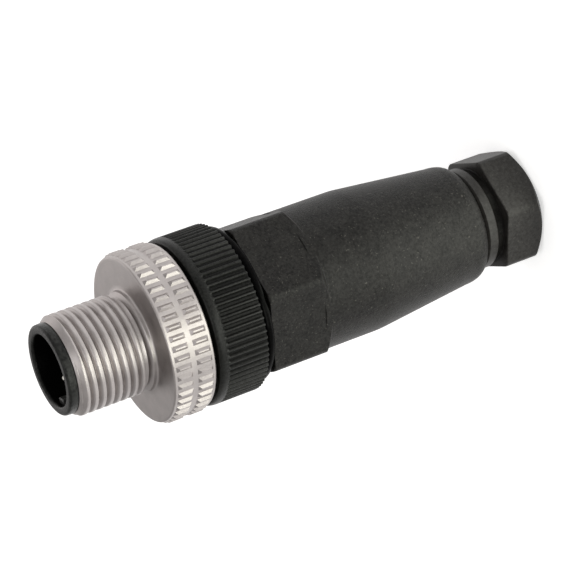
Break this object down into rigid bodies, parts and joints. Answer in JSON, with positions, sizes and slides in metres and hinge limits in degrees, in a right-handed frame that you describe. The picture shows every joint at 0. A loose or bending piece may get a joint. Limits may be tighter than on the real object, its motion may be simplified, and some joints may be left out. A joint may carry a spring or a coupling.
{
  "type": "m12 connector",
  "caption": "Straight round cable connector with a knurled metal coupling sleeve, threaded nose, keyed pin socket, hexagonal black housing and screwed cable gland.",
  "frame": {"origin": "middle of the gland screw's rear face, which the connector stands on", "axes": "+Z along the connector's axis towards the mating rim, +X square to a pair of the housing's flats"},
  "size_m": [0.0204, 0.0204, 0.0625],
  "materials": {
    "nickel_plate": "satin nickel plate over brass",
    "housing_plastic": "fine spark-eroded matte",
    "carrier_plastic": "smooth satin",
    "contact_metal": "thin gold plate",
    "steel": "zinc plated",
    "seal_rubber": "matte"
  },
  "bodies": {
    "housing": {"housing": "housing_plastic", "cable_seal": "seal_rubber"},
    "gland_follower": {"thrust_washer": "housing_plastic", "clamping_cage": "housing_plastic"},
    "gland_screw": {"gland_screw": "housing_plastic"},
    "seal_carriage": {"housing_o_ring": "seal_rubber"},
    "insert": {"ribbed_ring": "housing_plastic", "socket_shroud": "housing_plastic", "contact_carrier": "carrier_plastic", "contact_pin_1": "contact_metal", "contact_pin_2": "contact_metal", "contact_pin_3": "contact_metal", "contact_pin_4": "contact_metal"},
    "coupling": {"coupling_sleeve": "nickel_plate"},
    "clamp_1": {"terminal_screw_1": "steel", "wire_guard_1": "steel"},
    "clamp_2": {"terminal_screw_2": "steel", "wire_guard_2": "steel"},
    "clamp_3": {"terminal_screw_3": "steel", "wire_guard_3": "steel"},
    "clamp_4": {"terminal_screw_4": "steel", "wire_guard_4": "steel"}
  },
  "joints": [
    {"name": "gland_travel", "type": "slide", "parent": "housing", "child": "gland_follower", "axis": [0, 0, 1], "range_m": [-0.003, 0.002], "deforming": ["cable_seal"]},
    {"name": "gland_turn", "type": "hinge", "parent": "gland_follower", "child": "gland_screw", "pos_m": [0, 0, 0.0085], "axis": [0, 0, 1], "range_deg": [-851, 568]},
    {"name": "insert_travel", "type": "slide", "parent": "housing", "child": "seal_carriage", "axis": [0, 0, 1], "range_m": [0, 0.0045]},
    {"name": "insert_turn", "type": "hinge", "parent": "seal_carriage", "child": "insert", "pos_m": [0, 0, 0.036], "axis": [0, 0, 1], "range_deg": [0, 1619]},
    {"name": "sleeve_turn", "type": "hinge", "parent": "insert", "child": "coupling", "pos_m": [0, 0, 0.05], "axis": [0, 0, 1], "continuous": true},
    {"name": "clamp_travel_1", "type": "slide", "parent": "insert", "child": "clamp_1", "axis": [-0.8829, -0.4695, 0], "range_m": [0, 0.0008]},
    {"name": "clamp_travel_2", "type": "slide", "parent": "insert", "child": "clamp_2", "axis": [0.4695, -0.8829, 0], "range_m": [0, 0.0008]},
    {"name": "clamp_travel_3", "type": "slide", "parent": "insert", "child": "clamp_3", "axis": [0.8829, 0.4695, 0], "range_m": [0, 0.0008]},
    {"name": "clamp_travel_4", "type": "slide", "parent": "insert", "child": "clamp_4", "axis": [-0.4695, 0.8829, 0], "range_m": [0, 0.0008]}
  ],
  "couplings": [
    {"joint": "gland_turn", "follows": "gland_travel", "rad_per_m": 4947.4},
    {"joint": "insert_travel", "follows": "insert_turn", "m_per_rad": 0.00015915}
  ]
}
